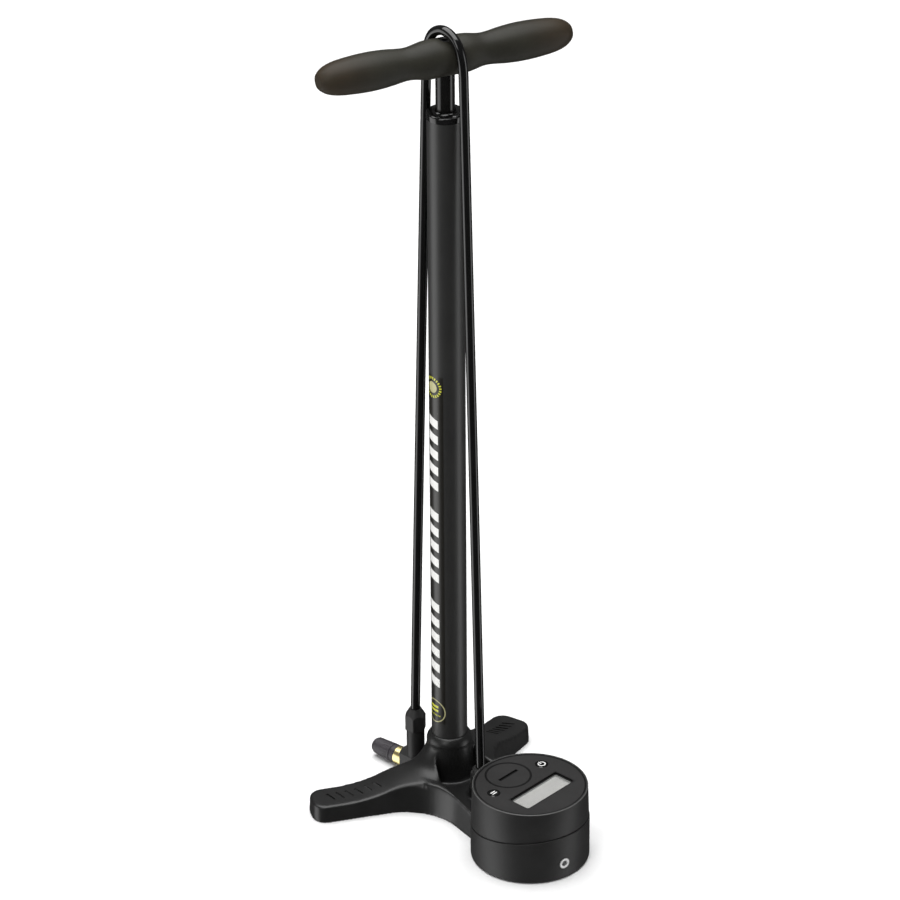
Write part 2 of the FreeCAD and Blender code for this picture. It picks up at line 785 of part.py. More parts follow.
def gauge_head():
    base_radius = pod_radius - 0.1
    outer = Part.makeCone(base_radius, head_top_radius, head_top_z - 24, Vector(0, gauge_y, 24))
    outer = outer.cut(below_parting(gasket_thickness))
    recess_radius = head_top_radius - rim_width
    room = cylinder(recess_radius - head_wall, 20, head_top_z - face_sink - face_thickness, 0, gauge_y)
    for place in gauge_screw_places():
        room = room.cut(cylinder(4.2, 0, board_z - 2, place.x, place.y))
    outer = outer.cut(room)
    outer = outer.cut(cylinder(recess_radius, head_top_z - face_sink - face_thickness, 80, 0, gauge_y))
    for place in gauge_screw_places():
        outer = outer.cut(cylinder(gauge_screw_radius, 20, board_z - 6, place.x, place.y))
    return outer.removeSplitter()


def gauge_gasket():
    band = ring(pod_radius - 1.2, pod_radius - pod_wall - 0.5, 10, 60, 0, gauge_y)
    return band.common(below_parting(gasket_thickness)).cut(below_parting(0))


def face_plate():
    top = head_top_z - face_sink
    low = top - face_thickness
    plate = cylinder(head_top_radius - rim_width - part_gap / 2, low, top)
    outer_length = window_length + 2 * window_bevel
    outer_width = window_width + 2 * window_bevel
    plate = plate.cut(rounded_bar(outer_length, outer_width, 2.5, top - window_sink, top + 1, 0, window_v))
    plate = plate.cut(rounded_bar(window_length, window_width, 1.5, low - 1, top, 0, window_v))
    plate = plate.cut(cylinder(cover_radius + slip_gap, top - 1.6, top + 1, cover_u, cover_v))
    plate = plate.cut(cylinder(cover_radius - 2.0, low - 1, top, cover_u, cover_v))
    for side in (-1, 1):
        plate = plate.cut(cylinder(button_radius + part_gap, low - 1, top + 1, side * button_u, button_v))
    return on_face(plate)


def lcd_window():
    top = head_top_z - face_sink - window_sink
    length = window_length - 2 * slip_gap
    width = window_width - 2 * slip_gap
    return on_face(rounded_bar(length, width, 1.3, top - 1.2, top, 0, window_v))


def lcd_panel():
    top = head_top_z - face_sink - window_sink - 1.2
    return on_face(rounded_bar(window_length - 1, window_width - 1, 1.0, top - 2.2, top, 0, window_v))


def battery_holder():
    top = head_top_z - face_sink - face_thickness
    low = top - 8.0
    cup = ring(cover_radius - 0.6, cell_radius + part_gap, low, top, cover_u, cover_v)
    cup = cup.fuse(cylinder(cover_radius - 0.6, low, low + 1.2, cover_u, cover_v))
    trimmed = cup.common(cylinder(head_top_radius - rim_width - head_wall - part_gap, 0, 90))
    return on_face(trimmed.removeSplitter())


def battery_contact():
    low = head_top_z - face_sink - face_thickness - 6.8
    leaf = rounded_bar(14, 4, 1.0, low, low + 0.4, cover_u, cover_v)
    return on_face(leaf)


def battery_cell():
    low = head_top_z - face_sink - face_thickness - 6.4
    rim = cylinder(cell_radius, low + 0.6, low + cell_height, cover_u, cover_v)
    return on_face(rim.fuse(cylinder(cell_radius - 1.2, low, low + 0.6, cover_u, cover_v)))


def battery_cover():
    top = head_top_z - face_sink
    cover = cylinder(cover_radius, top - 1.4, top, cover_u, cover_v)
    cover = cover.fuse(cylinder(cover_radius - 2.0 - part_gap, top - 3.2, top - 1.3, cover_u, cover_v))
    slot = rounded_bar(cover_slot_length, cover_slot_width, 0.99, top - 1.0, top + 1, cover_u, cover_v)
    return on_face(cover.cut(slot).removeSplitter())


def battery_cover_seal():
    top = head_top_z - face_sink
    return on_face(ring(cover_radius - 0.2, cover_radius - 1.2, top - 1.6, top - 1.42, cover_u, cover_v))


def button(side):
    top = head_top_z - face_sink + button_stand
    cap = turned([
        (0, top - 5.0),
        (button_radius - 1.0, top - 5.0),
        (button_radius - 1.0, top - 3.0),
        (button_radius, top - 3.0),
        (button_radius, top - 0.5),
        (button_radius - 0.6, top),
        (0, top),
    ])
    stem_foot = board_z + board_thickness + 1.8 + button_travel + 0.4
    cap = cap.fuse(cylinder(1.6, stem_foot, top - 4.9)).removeSplitter()
    cap.translate(Vector(side * button_u, button_v, 0))
    return on_face(cap)


def button_switches():
    low = board_z + board_thickness
    switches = []
    for side in (-1, 1):
        body = rounded_bar(6, 6, 0.4, low, low + 1.4, side * button_u, button_v)
        switches.append(on_face(body.fuse(cylinder(1.5, low, low + 1.8, side * button_u, button_v))))
    return Part.Compound(switches)


def circuit_board():
    board = cylinder(board_radius, board_z, board_z + board_thickness)
    board = board.cut(cylinder(cover_radius + 1, board_z - 1, board_z + 5, cover_u, cover_v + 26))
    return on_face(board)


def board_posts():
    """Two stand-offs hang the board from the face plate."""
    top = head_top_z - face_sink - face_thickness
    posts = [cylinder(2.2, board_z + board_thickness, top, side * 33.0, -8.0) for side in (-1, 1)]
    return Part.Compound([on_face(post) for post in posts])


def pressure_sensor():
    """The sensor block at the end of the air tube, in the pod."""
    near = gauge_y + pod_radius - pod_wall - 8
    block = rounded_bar(16, 12, 1.5, casting_wall, 20, 0, near - 6)
    return block.cut(lay_along(cylinder(2.4, 0, 8), Vector(0, near + 1, air_way_z), Vector(0, -1, 0)))


def air_tube():
    near = gauge_y + pod_radius - pod_wall - 8
    start = hose_y - 4
    tube = ring(2.4, 1.4, 0, start - near + 6)
    return lay_along(tube, Vector(0, start, air_way_z), Vector(0, -1, 0))


def gauge_screws():
    screws = []
    for place in gauge_screw_places():
        shank = cylinder(gauge_screw_radius, 3.9, board_z - 8, place.x, place.y)
        head = cylinder(gauge_screw_radius * 2, 1.6, 4.0, place.x, place.y)
        screws.append(head.fuse(shank).removeSplitter())
    return Part.Compound(screws)


def pod_screw():
    """The screw in the pod's outer face."""
    head = cylinder(pod_screw_head_radius, 0, pod_screw_head_height)
    head = head.cut(hexagon(2.5, -1, 2.0))
    screw = head.fuse(cylinder(2.0, pod_screw_head_height, 11)).removeSplitter()
    return lay_along(screw, Vector(0, gauge_y - pod_radius - 0.4, pod_screw_z), Vector(0, 1, 0))


pieces = {
    "base_casting": base_casting(),
    "foot_pads": foot_pads(),
    "barrel": barrel(),
    "barrel_foot_seal": barrel_foot_seal(),
    "barrel_cap": barrel_cap(),
    "rod_bush": rod_bush(),
    "rod_wiper": rod_wiper(),
    "foot_valve_body": foot_valve_body(),
    "foot_valve_ball": foot_valve_ball(),
    "foot_valve_spring": foot_valve_spring(),
    "piston_head": piston_head(),
    "piston_seal": piston_seal(),
    "piston_guide_ring": piston_guide_ring(),
    "bump_stop": bump_stop(),
    "piston_rod": piston_rod(),
    "piston_bolt": piston_bolt(),
    "handle": handle(),
    "rod_insert": rod_insert(),
    "handle_screw": handle_screw(),
    "hose": hose(),
    "hose_fitting": hose_fitting(),
    "hose_nut": hose_nut(),
    "head_boot": head_boot(),
    "head_body": head_body(),
    "head_brass_ring": head_brass_ring(),
    "head_seal": head_seal(),
    "head_collar": head_collar(),
    "head_dock": head_dock(),
    "gauge_head": gauge_head(),
    "gauge_gasket": gauge_gasket(),
    "face_plate": face_plate(),
    "lcd_window": lcd_window(),
    "lcd_panel": lcd_panel(),
    "battery_holder": battery_holder(),
    "battery_contact": battery_contact(),
    "battery_cell": battery_cell(),
    "battery_cover": battery_cover(),
    "battery_cover_seal": battery_cover_seal(),
    "power_button": button(1),
    "unit_button": button(-1),
    "button_switches": button_switches(),
    "circuit_board": circuit_board(),
    "board_posts": board_posts(),
    "pressure_sensor": pressure_sensor(),
    "air_tube": air_tube(),
    "gauge_screws": gauge_screws(),
    "pod_screw": pod_screw(),
}

for name, shape in pieces.items():
    if not shape.isValid():
        print(f"{name} is not valid")
    box = shape.BoundBox
    print(f"{name}: {len(shape.Solids)} solid, {shape.Volume:.0f} mm3, z {box.ZMin:.1f} to {box.ZMax:.1f}")
    shape.exportStep(f"parts/{name}.step")
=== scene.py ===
import bpy
import bmesh
import math
from mathutils import Matrix, Vector


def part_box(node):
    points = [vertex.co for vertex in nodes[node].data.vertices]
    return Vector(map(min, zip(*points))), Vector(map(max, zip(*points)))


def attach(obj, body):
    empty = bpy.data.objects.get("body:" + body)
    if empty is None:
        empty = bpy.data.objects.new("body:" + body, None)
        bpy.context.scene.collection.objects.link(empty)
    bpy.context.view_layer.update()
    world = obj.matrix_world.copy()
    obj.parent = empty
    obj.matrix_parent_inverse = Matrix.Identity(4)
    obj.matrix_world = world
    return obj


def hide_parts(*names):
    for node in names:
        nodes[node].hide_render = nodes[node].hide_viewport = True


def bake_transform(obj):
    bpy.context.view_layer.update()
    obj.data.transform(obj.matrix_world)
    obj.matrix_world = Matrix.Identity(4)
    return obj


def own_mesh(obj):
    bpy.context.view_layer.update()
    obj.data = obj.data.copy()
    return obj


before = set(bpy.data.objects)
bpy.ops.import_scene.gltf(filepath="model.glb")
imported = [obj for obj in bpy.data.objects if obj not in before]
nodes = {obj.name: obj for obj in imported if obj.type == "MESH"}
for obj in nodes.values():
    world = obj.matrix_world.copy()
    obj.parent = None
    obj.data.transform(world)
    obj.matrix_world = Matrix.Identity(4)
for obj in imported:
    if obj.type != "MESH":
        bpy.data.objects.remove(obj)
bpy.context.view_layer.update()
print("frame loaded with", len(nodes), "nodes")


# Camera: azimuth, pitch and roll in degrees, lengths in metres.
viewpoint = {
    "lensMm": 214.0,
    "distance": 4.37278,
    "azimuth": -34.0,
    "pitch": 29.152,
    "roll": -0.381,
    "target": (0.001617, -0.00109, 0.327492),
}


def addCamera(look):
    turn, tilt, roll = (math.radians(look[key]) for key in ("azimuth", "pitch", "roll"))
    right = Vector((math.cos(turn), math.sin(turn), 0))
    ahead = Vector((-math.sin(turn) * math.cos(tilt), math.cos(turn) * math.cos(tilt), -math.sin(tilt)))
    up = right.cross(ahead)
    across = right * math.cos(roll) + up * math.sin(roll)
    above = up * math.cos(roll) - right * math.sin(roll)
    axes = Matrix((across, above, -ahead)).transposed()
    lens = bpy.data.cameras.new("camera")
    lens.lens = look["lensMm"]
    lens.sensor_width = 36.0
    lens.clip_end = 100.0
    camera = bpy.data.objects.new("camera", lens)
    bpy.context.collection.objects.link(camera)
    camera.matrix_world = Matrix.Translation(Vector(look["target"]) - ahead * look["distance"]) @ axes.to_4x4()
    bpy.context.scene.camera = camera


addCamera(viewpoint)
print("camera placed")


# The hose: one length, from its nut on the arm, over the handle and down to the head behind.
hose = {
    "diameter": 0.008,
    "sides": 28,
    "stepsPerSpan": 40,
    "splitZ": 0.45,
    "holdZ": 0.10,
    "archZ": 0.64,
    "route": [
        (0.0, -0.046, 0.036),
        (0.0, -0.046, 0.059),
        (0.002914, -0.022493, 0.644871),
        (0.003152, -0.020569, 0.692832),
        (0.0, 0.0, 0.706664),
        (-0.003152, 0.020569, 0.692832),
        (-0.003657, 0.021868, 0.644851),
        (-0.009640, 0.037274, 0.076),
        (-0.009640, 0.037274, 0.052),
    ],
}


def smoothLine(name, route, steps):
    curve = bpy.data.curves.new(name, "CURVE")
    curve.dimensions = "3D"
    spline = curve.splines.new("NURBS")
    spline.points.add(len(route) - 1)
    for point, place in zip(spline.points, route):
        point.co = (*place, 1.0)
    spline.order_u = 3
    spline.use_endpoint_u = True
    spline.resolution_u = steps
    holder = bpy.data.objects.new(name, curve)
    bpy.context.collection.objects.link(holder)
    bpy.context.view_layer.update()
    line = bpy.data.meshes.new_from_object(holder)
    places = [vertex.co.copy() for vertex in line.vertices]
    bpy.data.objects.remove(holder)
    bpy.data.meshes.remove(line)
    return places


def tubeAlong(name, places, radius, sides):
    points, faces = [], []
    out = Vector((1, 0, 0))
    for index, place in enumerate(places):
        ahead = (places[min(index + 1, len(places) - 1)] - places[max(index - 1, 0)]).normalized()
        out = (out - ahead * out.dot(ahead)).normalized()
        side = ahead.cross(out)
        for step in range(sides):
            angle = 2 * math.pi * step / sides
            points.append(place + (out * math.cos(angle) + side * math.sin(angle)) * radius)
    for ring in range(len(places) - 1):
        for step in range(sides):
            after = (step + 1) % sides
            low, high = ring * sides, (ring + 1) * sides
            faces.append((low + step, low + after, high + after, high + step))
    faces.append(tuple(range(sides))[::-1])
    faces.append(tuple(range((len(places) - 1) * sides, len(places) * sides)))
    mesh = bpy.data.meshes.new(name)
    mesh.from_pydata(points, [], faces)
    tube = bpy.data.objects.new(name, mesh)
    bpy.context.collection.objects.link(tube)
    bpy.ops.object.select_all(action="DESELECT")
    tube.select_set(True)
    bpy.context.view_layer.objects.active = tube
    bpy.ops.object.shade_smooth_by_angle(angle=math.radians(40))
    return tube


def lineLength(places):
    return sum((after - before).length for before, after in zip(places, places[1:]))


def addHose(look):
    line = smoothLine("hoseLine", look["route"], look["stepsPerSpan"])
    top = max(range(len(line)), key=lambda index: line[index].z)
    frontEnd = next(index for index in range(top) if line[index].z >= look["splitZ"])
    backStart = next(index for index in range(top, len(line)) if line[index].z <= look["splitZ"])
    runs = {
        "hose_front": line[:frontEnd + 1],
        "hose_arch": line[frontEnd:backStart + 1],
        "hose_back": line[backStart:],
    }
    tubes = {name: tubeAlong(name, run, look["diameter"] / 2, look["sides"]) for name, run in runs.items()}
    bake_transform(tubes["hose_front"])
    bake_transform(tubes["hose_back"])
    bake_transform(tubes["hose_arch"])
    for name, tube in tubes.items():
        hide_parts("hose")
    print("hose laid,", round(lineLength(line), 3), "m")
    return list(tubes.values())


hoseTubes = addHose(hose)


# Finishes. A Wire is a socket that can be reckoned with.
class Wire:
    def __init__(self, tree, socket=None):
        self.tree = tree
        self.socket = socket

    def make(self, kind, settings=None, inputs=None, output=0):
        node = self.tree.nodes.new(kind)
        for name, value in (settings or {}).items():
            if name == "stops":
                ramp = node.color_ramp
                for _ in range(len(value) - 2):
                    ramp.elements.new(0.5)
                for element, (place, colour) in zip(ramp.elements, value):
                    element.position = place
                    element.color = (*colour, 1.0)
            else:
                setattr(node, name, value)
        for name, value in (inputs or {}).items():
            if isinstance(value, Wire):
                self.tree.links.new(value.socket, node.inputs[name])
            else:
                node.inputs[name].default_value = value
        return Wire(self.tree, node.outputs[output] if node.outputs else None)

    def reckon(self, operation, *values):
        return self.make("ShaderNodeMath", {"operation": operation}, dict(enumerate(values)))

    def __add__(self, other):
        return self.reckon("ADD", self, other)

    def __sub__(self, other):
        return self.reckon("SUBTRACT", self, other)

    def __rsub__(self, other):
        return self.reckon("SUBTRACT", other, self)

    def __mul__(self, other):
        return self.reckon("MULTIPLY", self, other)

    def __truediv__(self, other):
        return self.reckon("DIVIDE", self, other)

    def __lt__(self, other):
        return self.reckon("LESS_THAN", self, other)

    def __gt__(self, other):
        return self.reckon("GREATER_THAN", self, other)

    __radd__ = __add__
    __rmul__ = __mul__

    def size(self):
        return self.reckon("ABSOLUTE", self)

    def larger(self, other):
        return self.reckon("MAXIMUM", self, other)

    def smaller(self, other):
        return self.reckon("MINIMUM", self, other)

    def step(self, low, high):
        settings = {"interpolation_type": "SMOOTHSTEP"}
        return self.make("ShaderNodeMapRange", settings, {"Value": self, "From Min": low, "From Max": high})

    def tint(self, colour, mask):
        inputs = {0: mask, 6: self, 7: colour if isinstance(colour, Wire) else (*colour, 1.0)}
        return self.make("ShaderNodeMix", {"data_type": "RGBA"}, inputs, 2)

    def noise(self, scale, detail=3.0, roughness=0.55):
        inputs = {"Vector": self, "Scale": scale, "Detail": detail, "Roughness": roughness}
        return self.make("ShaderNodeTexNoise", None, inputs)

    def stretched(self, scale):
        return self.make("ShaderNodeVectorMath", {"operation": "MULTIPLY"}, {0: self, 1: scale})

    def apart(self):
        node = self.make("ShaderNodeSeparateXYZ", None, {0: self}).socket.node
        return [Wire(self.tree, socket) for socket in node.outputs]


def mixOf(start, low, high, mask):
    first = start.make("ShaderNodeRGB")
    first.socket.default_value = (*low, 1.0)
    return first.tint(high, mask)


# Each finish: two shades that drift into each other, two roughnesses, and a grain in metres.
finishes = {
    "castBlack": {"dark": (0.0075, 0.0075, 0.0075), "light": (0.0115, 0.0115, 0.0113), "rough": (0.28, 0.38), "grain": 2600.0, "bump": 0.10, "metal": 0.0, "sheen": 0.38},
    "barrelBlack": {"dark": (0.0150, 0.0150, 0.0146), "light": (0.0185, 0.0185, 0.0178), "rough": (0.38, 0.46), "grain": 3200.0, "bump": 0.05, "metal": 0.0},
    "glossBlack": {"dark": (0.003, 0.003, 0.003), "light": (0.005, 0.005, 0.005), "rough": (0.10, 0.18), "grain": 900.0, "bump": 0.01, "metal": 0.0},
    "matteBlack": {"dark": (0.0115, 0.0113, 0.0113), "light": (0.0160, 0.0157, 0.0157), "rough": (0.44, 0.54), "grain": 2200.0, "bump": 0.14, "metal": 0.0, "sheen": 0.36},
    "faceGrey": {"dark": (0.0195, 0.0190, 0.0190), "light": (0.0250, 0.0244, 0.0244), "rough": (0.44, 0.52), "grain": 3000.0, "bump": 0.08, "metal": 0.0, "sheen": 0.16},
    "rodBlack": {"dark": (0.005, 0.0048, 0.0045), "light": (0.008, 0.0075, 0.007), "rough": (0.12, 0.20), "grain": 1500.0, "bump": 0.01, "metal": 0.3},
    "hoseBlack": {"dark": (0.0025, 0.0025, 0.0025), "light": (0.004, 0.004, 0.004), "rough": (0.09, 0.14), "grain": 700.0, "bump": 0.015, "metal": 0.0},
    "sealRubber": {"dark": (0.008, 0.008, 0.008), "light": (0.013, 0.013, 0.013), "rough": (0.62, 0.78), "grain": 1800.0, "bump": 0.12, "metal": 0.0},
    "brass": {"dark": (0.62, 0.50, 0.20), "light": (0.80, 0.70, 0.36), "rough": (0.22, 0.36), "grain": 1400.0, "bump": 0.03, "metal": 1.0},
    "steel": {"dark": (0.46, 0.46, 0.47), "light": (0.62, 0.62, 0.62), "rough": (0.22, 0.36), "grain": 1600.0, "bump": 0.03, "metal": 1.0},
    "blackSteel": {"dark": (0.030, 0.030, 0.032), "light": (0.050, 0.050, 0.052), "rough": (0.30, 0.42), "grain": 1600.0, "bump": 0.04, "metal": 0.7},
    "boardGreen": {"dark": (0.010, 0.090, 0.035), "light": (0.016, 0.130, 0.050), "rough": (0.32, 0.44), "grain": 900.0, "bump": 0.05, "metal": 0.0},
    "paleSteel": {"dark": (0.55, 0.55, 0.55), "light": (0.68, 0.68, 0.68), "rough": (0.30, 0.42), "grain": 1600.0, "bump": 0.03, "metal": 0.15},
    "lockGrey": {"dark": (0.019, 0.016, 0.020), "light": (0.029, 0.025, 0.030), "rough": (0.42, 0.55), "grain": 2400.0, "bump": 0.10, "metal": 0.0},
}


def grainOf(place, look):
    drift = place.noise(38.0, 2.0)
    fine = place.noise(look["grain"], 2.0)
    return drift, fine


def surface(name, look, adjust=None):
    material = bpy.data.materials.new(name)
    material.use_nodes = True
    tree = material.node_tree
    tree.nodes.clear()
    start = Wire(tree)
    place = start.make("ShaderNodeTexCoord", None, None, 3)
    drift, fine = grainOf(place, look)
    shade = mixOf(start, look["dark"], look["light"], (drift * 0.6 + fine * 0.4).step(0.3, 0.7))
    lowRough, highRough = look["rough"]
    rough = (drift * 0.5 + fine * 0.5) * (highRough - lowRough) + lowRough
    parts = {"shade": shade, "rough": rough, "height": fine, "place": place, "metal": look["metal"]}
    if adjust:
        adjust(start, parts)
    bump = start.make("ShaderNodeBump", None, {"Strength": look["bump"], "Distance": 0.0002, "Height": parts["height"]})
    inputs = {"Base Color": parts["shade"], "Roughness": parts["rough"], "Metallic": parts["metal"], "Normal": bump}
    inputs["Specular IOR Level"] = look.get("sheen", 0.5)
    if "glow" in parts:
        inputs.update({"Emission Color": parts["glow"], "Emission Strength": 1.0})
    body = start.make("ShaderNodeBsdfPrincipled", None, inputs)
    start.make("ShaderNodeOutputMaterial", None, {"Surface": body})
    return material


materials = {name: surface(name, look) for name, look in finishes.items()}


# Handle: painted wood, warmer at the ends, with a faint grain along it.
handleLook = {
    "dark": (0.0155, 0.0148, 0.0112), "light": (0.0215, 0.0205, 0.0150), "warm": (0.034, 0.022, 0.012), "sheen": 0.18,
    "rough": (0.40, 0.52), "grain": 900.0, "bump": 0.10, "metal": 0.0,
    "turn": -9.2, "warmFrom": 0.055, "warmTo": 0.105,
}


def paintHandle(start, parts):
    turn = math.radians(handleLook["turn"])
    turned = start.make("ShaderNodeMapping", {"vector_type": "TEXTURE"}, {"Vector": parts["place"], "Rotation": (0, 0, turn)})
    along = turned.apart()[0]
    wood = turned.stretched((0.06, 1.0, 1.0)).noise(420.0, 4.0, 0.6)
    ends = along.size().step(handleLook["warmFrom"], handleLook["warmTo"])
    parts["shade"] = parts["shade"].tint(handleLook["warm"], ends * (wood * 0.6 + 0.25))
    parts["rough"] = parts["rough"] + wood * 0.08
    parts["height"] = parts["height"] * 0.5 + wood * 0.5


materials["handleWood"] = surface("handleWood", handleLook, paintHandle)


# Barrel: satin black with a dark panel on its left, slanted bars and two ring badges.
barrelLook = dict(finishes["barrelBlack"])
barrelLook.update({
    "faces": 182.0, "radius": 0.015,
    "panel": (0.072, 0.402, 0.0108),  # foot, top and half width
    "bars": (0.107, 0.368, 0.0145, 0.0058),  # foot, top, pitch and half height
    "gaps": (6, 12),
    "badges": (0.083, 0.391), "badgeRadius": 0.0105,
    "panelShade": (0.0075, 0.0065, 0.0045), "barShade": (0.74, 0.74, 0.72), "ringShade": (0.42, 0.40, 0.20), "yellow": (0.55, 0.56, 0.03),
})


def paintBarrel(start, parts):
    look = barrelLook
    x, y, z = parts["place"].apart()
    turn = start.reckon("ARCTAN2", y * -1.0, x * -1.0) - math.radians(look["faces"] - 180.0)
    across = turn * look["radius"]
    foot, top, half = look["panel"]
    edge = 0.00012
    panel = (half - across.size()).step(-edge, edge) * (z - foot).step(-edge, edge) * (top - z).step(-edge, edge)
    low, high, pitch, tall = look["bars"]
    run = (z - low + across * 0.28) / pitch
    cell = start.reckon("FLOOR", run)
    inCell = run - cell
    bars = (inCell - 0.10).step(0, 0.012) * (0.66 - inCell).step(0, 0.012) * (tall - across.size()).step(-edge, edge)
    for skipped in look["gaps"]:
        bars = bars * ((cell - skipped).size() > 0.5)
    bars = bars * (z - low).step(-edge, edge) * (high - z).step(-edge, edge)
    shade = parts["shade"].tint(look["panelShade"], panel)
    shade = shade.tint(look["barShade"], bars)
    lowBadge, highBadge = look["badges"]
    rise = z - highBadge
    reach = start.reckon("SQRT", across * across + rise * rise)
    around = start.reckon("SINE", start.reckon("ARCTAN2", rise, across) * 22.0)
    dots = (0.0011 - (reach - 0.0084).size()).step(-edge, edge) * around.step(-0.1, 0.1)
    core = (0.0050 - reach).step(-edge, edge)
    shade = shade.tint(look["yellow"], dots).tint(look["ringShade"], core)
    rise = z - lowBadge
    reach = start.reckon("SQRT", across * across + rise * rise)
    line = (0.00045 - (reach - look["badgeRadius"]).size()).step(-edge, edge)
    stripes = (0.0046 - (across + 0.0005).size()).step(-edge, edge)
    upper = (0.0011 - (rise - 0.0042).size()).step(-edge, edge)
    lower = (0.0011 - (rise - 0.0004).size()).step(-edge, edge)
    ticks = (0.0006 - (rise + 0.0040).size()).step(-edge, edge) * start.reckon("SINE", across * 3600.0).step(-0.1, 0.1)
    ticks = ticks * (0.0066 - across.size()).step(-edge, edge)
    shade = shade.tint(look["ringShade"], line).tint(look["yellow"], (stripes * upper.larger(lower)).larger(ticks))
    parts["shade"] = shade
    parts["rough"] = parts["rough"] - panel * 0.12
    parts["height"] = parts["height"] + panel * 0.6


materials["barrelPrinted"] = surface("barrelPrinted", barrelLook, paintBarrel)


# Gauge housing: the pod on the arm and the head over it, which meet on a slope.
gauge = {
    "y": -0.11844, "podRadius": 0.0494, "podWall": 0.0045, "headTop": 0.048, "headTopZ": 0.0663, "rim": 0.0019, "faceZ": 0.0624,
    "headWall": 0.0032, "partingZ": 0.0326, "slope": 0.156, "gasket": 0.0008, "steps": 144, "screwZ": 0.015,
}


# Gauge face: its marks are set out across (u) and up (v) from the middle of the dial, turned with it.
dialLook = {
    "middle": (0.0, -0.11844), "turn": 13.4, "ink": (0.78, 0.78, 0.77), "shadow": (0.0012, 0.0012, 0.0012),
    "cover": (-0.0015, 0.0229), "coverRadius": 0.0186, "slot": (0.0110, 0.0017), "seam": 0.0008,
    "window": (0.0, -0.013), "windowHalf": (0.027, 0.00875), "windowShade": 0.0022, "groove": 0.0450,
    "power": (0.0297, 0.0136), "unit": (-0.0297, 0.0136), "ringRadius": 0.0029, "line": 0.00052,
    "screwZ": 0.015, "socket": 0.0026, "screwRim": 0.0043,
}


def dialPlace(start, parts, spot=(0.0, 0.0)):
    x, y, z = parts["place"].apart()
    x, y = x - dialLook["middle"][0], y - dialLook["middle"][1]
    cosine, sine = math.cos(math.radians(dialLook["turn"])), math.sin(math.radians(dialLook["turn"]))
    across, up = x * cosine + y * sine - spot[0], y * cosine - x * sine - spot[1]
    return across, up, start.reckon("SQRT", across * across + up * up)


def paintFace(start, parts):
    # Painted shade: the gap round the battery cover, the groove along the rim and the recess round the window are
    # darkened with the shadow colour.
    edge = 0.0002
    reach = dialPlace(start, parts, dialLook["cover"])[2]
    seam = (dialLook["seam"] - (reach - dialLook["coverRadius"] - 0.0003).size()).step(-edge, edge)
    rim = (dialPlace(start, parts)[2] - dialLook["groove"]).step(-edge, edge)
    across, up, reach = dialPlace(start, parts, dialLook["window"])
    halfLong, halfWide = dialLook["windowHalf"]
    outside = (across.size() - halfLong).larger(up.size() - halfWide)
    recess = (dialLook["windowShade"] * 1.5 - outside).step(0, dialLook["windowShade"]) * 0.75
    parts["shade"] = parts["shade"].tint(dialLook["shadow"], seam.larger(rim).larger(recess))


def paintCover(start, parts):
    # Painted shade: the coin slot and the gap along the cover's edge are darkened with the shadow colour.
    edge = 0.00015
    across, up, reach = dialPlace(start, parts, dialLook["cover"])
    long, wide = dialLook["slot"]
    slot = (long - across.size()).step(-edge, edge) * (wide - up.size()).step(-edge, edge)
    rim = (reach - dialLook["coverRadius"] + dialLook["seam"]).step(-edge, edge)
    parts["shade"] = parts["shade"].tint(dialLook["shadow"], slot.larger(rim))


def paintPower(start, parts):
    edge = 0.00012
    across, up, reach = dialPlace(start, parts, dialLook["power"])
    line = dialLook["line"]
    opening = (line * 2.6 - across.size()).step(-edge, edge) * (up > 0)
    ring = (line - (reach - dialLook["ringRadius"]).size()).step(-edge, edge) * (1 - opening)
    stem = (line - across.size()).step(-edge, edge) * (0.0016 - (up - 0.0022).size()).step(-edge, edge)
    parts["shade"] = parts["shade"].tint(dialLook["ink"], ring.larger(stem))


def paintUnit(start, parts):
    edge = 0.00012
    across, up, reach = dialPlace(start, parts, dialLook["unit"])
    bars = (dialLook["line"] - (up.size() - 0.0011).size()).step(-edge, edge) * (0.0026 - across.size()).step(-edge, edge)
    parts["shade"] = parts["shade"].tint(dialLook["ink"], bars)


def paintScrew(start, parts):
    x, y, z = parts["place"].apart()
    rise = z - dialLook["screwZ"]
    reach = start.reckon("SQRT", x * x + rise * rise)
    edge = 0.0002
    # Painted shade: the socket in the screw's head and the screw beyond the head's rim are darkened.
    ends = (dialLook["socket"] - reach).step(-edge, edge).larger((reach - dialLook["screwRim"]).step(-edge, edge))
    parts["shade"] = parts["shade"].tint((0.20, 0.20, 0.20), ends)


materials["dialGrey"] = surface("dialGrey", finishes["faceGrey"], paintFace)
materials["coverBlack"] = surface("coverBlack", finishes["faceGrey"], paintCover)
materials["powerGloss"] = surface("powerGloss", finishes["glossBlack"], paintPower)
materials["unitGloss"] = surface("unitGloss", finishes["glossBlack"], paintUnit)
materials["screwPale"] = surface("screwPale", finishes["paleSteel"], paintScrew)


# Housing of the dial: the same black, with a painted highlight, a little glossier, along the rim's outer edge and
# painted shade along its inner edge by the face.
def paintRim(start, parts):
    height = parts["place"].apart()[2]
    reach = dialPlace(start, parts)[2]
    rimHighlight = (height - gauge["headTopZ"] + 0.0006).step(0, 0.0002) * (reach - gauge["headTop"] + 0.0009).step(0, 0.0003)
    inner = (height - gauge["faceZ"] - 0.0002).step(0, 0.0002) * (gauge["headTop"] - gauge["rim"] + 0.0002 - reach).step(0, 0.0002)
    parts["shade"] = parts["shade"].tint((0.085, 0.085, 0.083), rimHighlight * 0.8).tint(dialLook["shadow"], inner)
    parts["rough"] = parts["rough"] - rimHighlight * 0.15


materials["rimBlack"] = surface("rimBlack", finishes["matteBlack"], paintRim)

# Screen: a pale panel.
screenLook = {"dark": (0.38, 0.375, 0.365), "light": (0.46, 0.455, 0.445), "rough": (0.30, 0.36), "grain": 1500.0, "bump": 0.01, "metal": 0.0}
materials["screenGrey"] = surface("screenGrey", screenLook)


